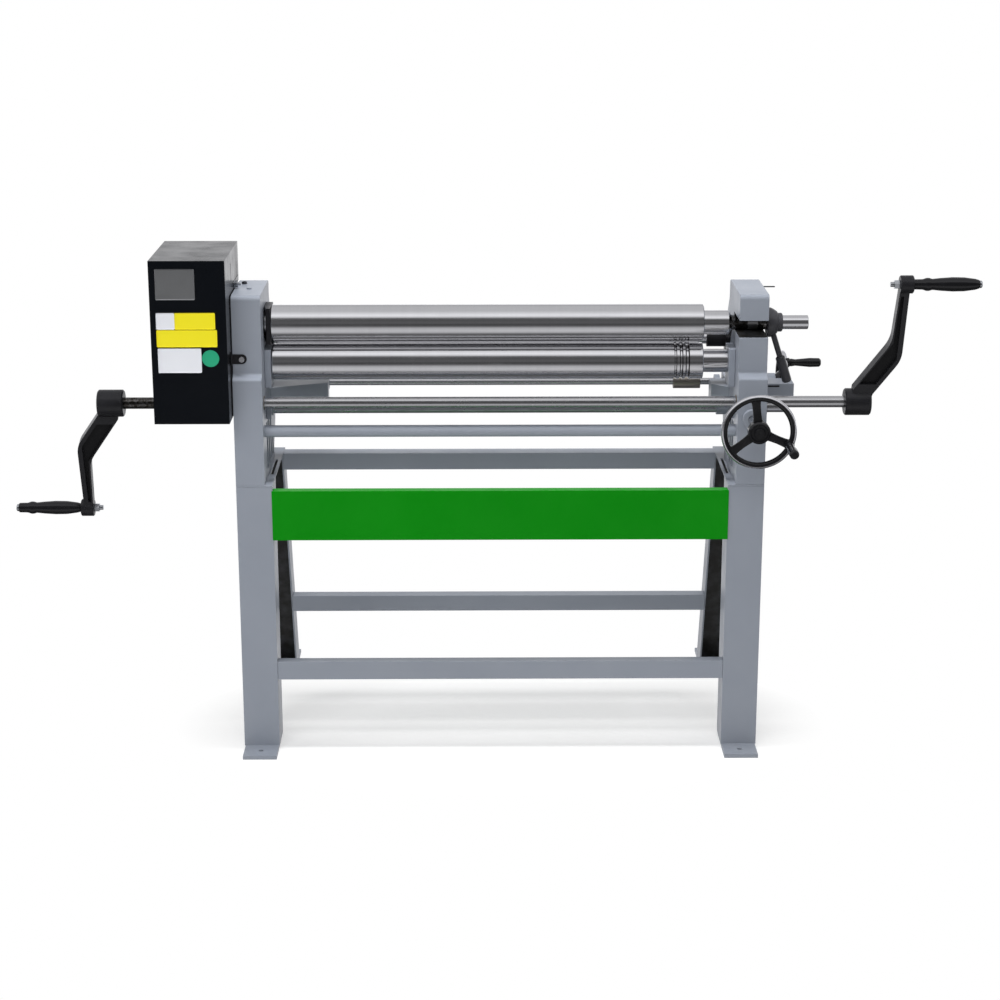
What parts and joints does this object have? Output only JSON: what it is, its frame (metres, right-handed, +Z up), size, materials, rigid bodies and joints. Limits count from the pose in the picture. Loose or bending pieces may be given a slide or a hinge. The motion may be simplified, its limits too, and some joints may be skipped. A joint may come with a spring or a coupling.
{
  "type": "slip roll machine",
  "caption": "Hand-cranked slip roll for sheet metal on a folded steel stand: ground rolls between cast side frames, with a gear cover, long cranks and adjusting handwheels.",
  "frame": {"origin": "bottom centre of the bounding box, on the floor", "axes": "+Z up, +X along the rolls towards their free end, -Y towards the operator"},
  "size_m": [2.3482, 0.9433, 1.25],
  "materials": {
    "grey_paint": "satin",
    "black_paint": "satin",
    "green_paint": "satin",
    "ground_steel": "ground bright",
    "dark_steel": "oiled dark",
    "black_cast": "painted satin black",
    "black_plastic": "gloss",
    "zinc": "zinc plated",
    "bronze": "machined"
  },
  "bodies": {
    "stand": {"left_front_leg": "grey_paint", "left_rear_leg": "grey_paint", "left_top_plate": "grey_paint", "left_screw_box": "grey_paint", "left_pinch_bracket": "grey_paint", "left_crank_bush": "bronze", "right_front_leg": "grey_paint", "right_rear_leg": "grey_paint", "right_top_plate": "grey_paint", "right_screw_box": "grey_paint", "right_pinch_bracket": "grey_paint", "right_crank_bush": "bronze", "left_side_frame": "grey_paint", "right_side_frame": "grey_paint", "front_lower_rail": "grey_paint", "rear_lower_rail": "grey_paint", "rear_top_rail": "grey_paint", "front_panel": "green_paint", "tie_bar": "grey_paint", "left_shaft_bracket": "grey_paint", "right_shaft_bracket": "grey_paint", "outer_shaft_bracket": "grey_paint", "gear_cover": "black_paint", "cover_tab": "black_paint", "upper_trunnion_pin": "dark_steel", "lower_trunnion_pin": "dark_steel", "upper_gear_bush": "bronze", "spindle_flange": "grey_paint"},
    "roll_swing": {"swing_bearing": "black_cast"},
    "upper_roll": {"upper_roll": "ground_steel"},
    "release_lever": {"release_lever": "black_cast", "release_lever_grip": "black_plastic"},
    "upper_gear": {"upper_roll_gear": "dark_steel"},
    "lower_carriage": {"left_lower_bearing": "grey_paint", "right_lower_bearing": "grey_paint"},
    "lower_roll": {"lower_roll": "ground_steel", "lower_roll_gear": "dark_steel", "drive_wheel": "dark_steel"},
    "crank": {"crank_shaft": "ground_steel", "crank_pinion": "dark_steel", "left_crank_arm": "black_cast", "right_crank_arm": "black_cast", "left_grip_bolt": "zinc", "right_grip_bolt": "zinc"},
    "left_grip": {"left_crank_grip": "black_plastic"},
    "right_grip": {"right_crank_grip": "black_plastic"},
    "handwheel": {"front_handwheel": "black_plastic", "front_spindle": "ground_steel"},
    "handwheel_grip": {"front_handwheel_grip": "black_plastic"},
    "pinch_shaft": {"pinch_shaft": "dark_steel", "pinch_collar": "dark_steel"},
    "rear_wheel": {"rear_shaft": "ground_steel", "shaft_coupling": "dark_steel", "rear_handwheel": "black_plastic"},
    "rear_grip": {"rear_handwheel_grip": "black_plastic"},
    "rear_carriage": {"left_rear_bearing": "dark_steel", "right_rear_bearing": "dark_steel", "left_rear_screw": "dark_steel", "right_rear_screw": "dark_steel"},
    "rear_roll": {"rear_roll": "ground_steel"}
  },
  "joints": [
    {"name": "crank_turn", "type": "hinge", "parent": "stand", "child": "crank", "pos_m": [0, -0.191, 0.8834], "axis": [1, 0, 0], "continuous": true},
    {"name": "left_grip_spin", "type": "hinge", "parent": "crank", "child": "left_grip", "pos_m": [-1.09, -0.08069, 0.58835], "axis": [1, 0, 0], "continuous": true},
    {"name": "right_grip_spin", "type": "hinge", "parent": "crank", "child": "right_grip", "pos_m": [1.09, -0.27518, 1.18694], "axis": [1, 0, 0], "continuous": true},
    {"name": "upper_gear_spin", "type": "hinge", "parent": "stand", "child": "upper_gear", "pos_m": [-0.644, -0.121, 1.066], "axis": [1, 0, 0], "continuous": true},
    {"name": "roll_swing", "type": "hinge", "parent": "stand", "child": "roll_swing", "pos_m": [-0.57, -0.121, 1.066], "axis": [0, 0, -1], "range_deg": [0, 8]},
    {"name": "upper_roll_spin", "type": "hinge", "parent": "roll_swing", "child": "upper_roll", "pos_m": [0, -0.121, 1.066], "axis": [1, 0, 0], "continuous": true},
    {"name": "lever_turn", "type": "hinge", "parent": "roll_swing", "child": "release_lever", "pos_m": [0.7, -0.121, 1.066], "axis": [-1, 0, 0], "range_deg": [0, 100]},
    {"name": "lower_carriage_slide", "type": "slide", "parent": "stand", "child": "lower_carriage", "axis": [0, 0, 1], "range_m": [0, 0.0045]},
    {"name": "lower_roll_spin", "type": "hinge", "parent": "lower_carriage", "child": "lower_roll", "pos_m": [0, -0.121, 0.971], "axis": [1, 0, 0], "continuous": true},
    {"name": "handwheel_turn", "type": "hinge", "parent": "stand", "child": "handwheel", "pos_m": [0.646, -0.371, 0.853], "axis": [0, 1, 0], "range_deg": [0, 720]},
    {"name": "handwheel_grip_spin", "type": "hinge", "parent": "handwheel", "child": "handwheel_grip", "pos_m": [0.7178, -0.42, 0.82252], "axis": [0, 1, 0], "continuous": true},
    {"name": "pinch_shaft_turn", "type": "hinge", "parent": "stand", "child": "pinch_shaft", "pos_m": [0, -0.121, 0.853], "axis": [1, 0, 0], "range_deg": [0, 720]},
    {"name": "rear_wheel_turn", "type": "hinge", "parent": "stand", "child": "rear_wheel", "pos_m": [0.771, 0.161, 0.8545], "axis": [1, 0, 0], "range_deg": [-2880, 2160]},
    {"name": "rear_grip_spin", "type": "hinge", "parent": "rear_wheel", "child": "rear_grip", "pos_m": [0.82, 0.12397, 0.91153], "axis": [1, 0, 0], "continuous": true},
    {"name": "rear_carriage_slide", "type": "slide", "parent": "stand", "child": "rear_carriage", "axis": [0, -0.6428, 0.766], "range_m": [-0.04, 0.03]},
    {"name": "rear_roll_spin", "type": "hinge", "parent": "rear_carriage", "child": "rear_roll", "pos_m": [0, -0.001, 1.003], "axis": [1, 0, 0], "continuous": true}
  ],
  "couplings": [
    {"joint": "upper_gear_spin", "follows": "crank_turn", "ratio": 0.20968},
    {"joint": "upper_roll_spin", "follows": "crank_turn", "ratio": 0.20968},
    {"joint": "lower_roll_spin", "follows": "crank_turn", "ratio": -0.20968},
    {"joint": "handwheel_turn", "follows": "lower_carriage_slide", "rad_per_m": 2792.5},
    {"joint": "pinch_shaft_turn", "follows": "lower_carriage_slide", "rad_per_m": 2792.5},
    {"joint": "rear_wheel_turn", "follows": "rear_carriage_slide", "rad_per_m": 1256.6}
  ]
}
